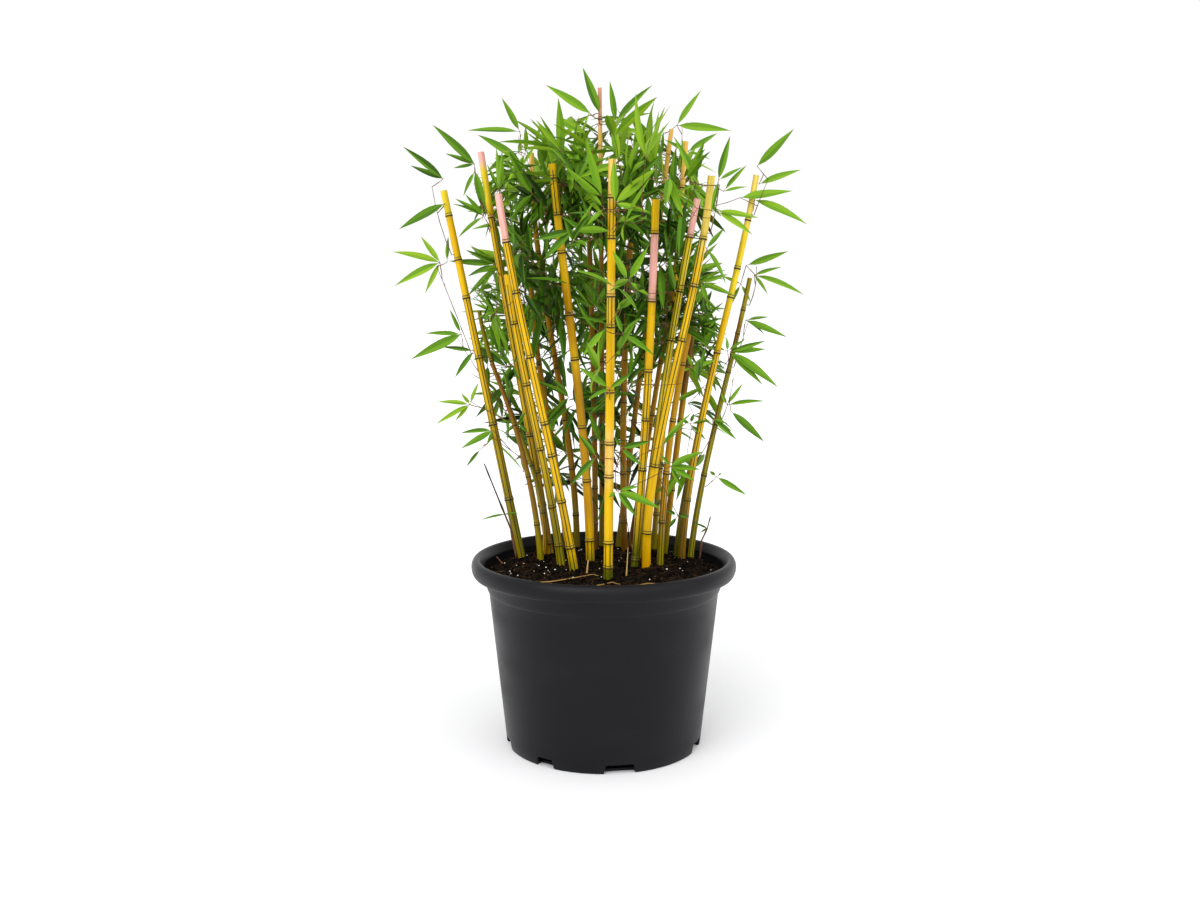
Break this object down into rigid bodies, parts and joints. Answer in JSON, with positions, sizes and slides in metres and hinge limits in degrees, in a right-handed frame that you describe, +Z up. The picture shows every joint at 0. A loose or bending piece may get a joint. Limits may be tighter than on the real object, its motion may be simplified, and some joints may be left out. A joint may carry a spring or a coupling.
{
  "type": "potted bamboo",
  "caption": "Clump of upright cut bamboo canes with leafy side shoots, growing in compost in a round black nursery pot with a rolled rim.",
  "frame": {"origin": "centre of the pot's flat underside, on the surface that it stands on", "axes": "+Z up the plant, +Y away from the side that it is seen from, +X to the right of that view"},
  "size_m": [0.5215, 0.5057, 0.8551],
  "materials": {
    "pot_plastic": "satin moulded charcoal plastic",
    "compost": "damp crumbly compost with fibres and pale specks",
    "golden_cane": "smooth waxy golden cane with dark node rings and green stripes",
    "olive_cane": "smooth older cane, brownish yellow to olive",
    "shoot_brown": "dry brown sheath and cut stub",
    "leaf_green": "thin satin leaf, mid to yellow green"
  },
  "bodies": {
    "root": {"pot": "pot_plastic", "soil": "compost", "cane_01": "golden_cane", "cane_02": "golden_cane", "cane_03": "golden_cane", "cane_04": "golden_cane", "cane_05": "olive_cane", "cane_06": "olive_cane", "cane_07": "golden_cane", "cane_08": "olive_cane", "cane_09": "olive_cane", "cane_10": "golden_cane", "cane_11": "olive_cane", "cane_12": "golden_cane", "cane_13": "golden_cane", "cane_14": "golden_cane", "cane_15": "golden_cane", "cane_16": "olive_cane", "cane_17": "olive_cane", "cane_18": "golden_cane", "cane_19": "olive_cane", "cane_20": "olive_cane", "cane_21": "olive_cane", "cane_22": "olive_cane", "cane_23": "olive_cane", "cane_24": "olive_cane", "shoot_left": "shoot_brown", "shoot_right": "shoot_brown", "stub_left": "shoot_brown", "stub_centre": "shoot_brown", "stub_right": "shoot_brown", "leaves_top": "leaf_green", "leaves_top_right": "leaf_green", "leaves_top_mid": "leaf_green", "leaves_top_left": "leaf_green", "leaves_left_top": "leaf_green", "leaves_far_left_top": "leaf_green", "leaves_left_upper": "leaf_green", "leaves_left_mid": "leaf_green", "leaves_left_low": "leaf_green", "leaves_left_foot": "leaf_green", "leaves_right_top": "leaf_green", "leaves_far_right_top": "leaf_green", "leaves_right_upper": "leaf_green", "leaves_right_mid": "leaf_green", "leaves_right_low": "leaf_green", "leaves_right_foot": "leaf_green", "leaves_front_top": "leaf_green", "leaves_front_upper": "leaf_green", "leaves_front_mid": "leaf_green", "leaves_front_low": "leaf_green", "leaves_front_foot": "leaf_green", "leaves_inner_left": "leaf_green", "leaves_inner_right": "leaf_green", "leaves_inner_high": "leaf_green", "leaves_back_left": "leaf_green", "leaves_back_left_low": "leaf_green", "leaves_back_mid": "leaf_green", "leaves_back_low": "leaf_green", "leaves_back_right": "leaf_green"}
  },
  "joints": []
}
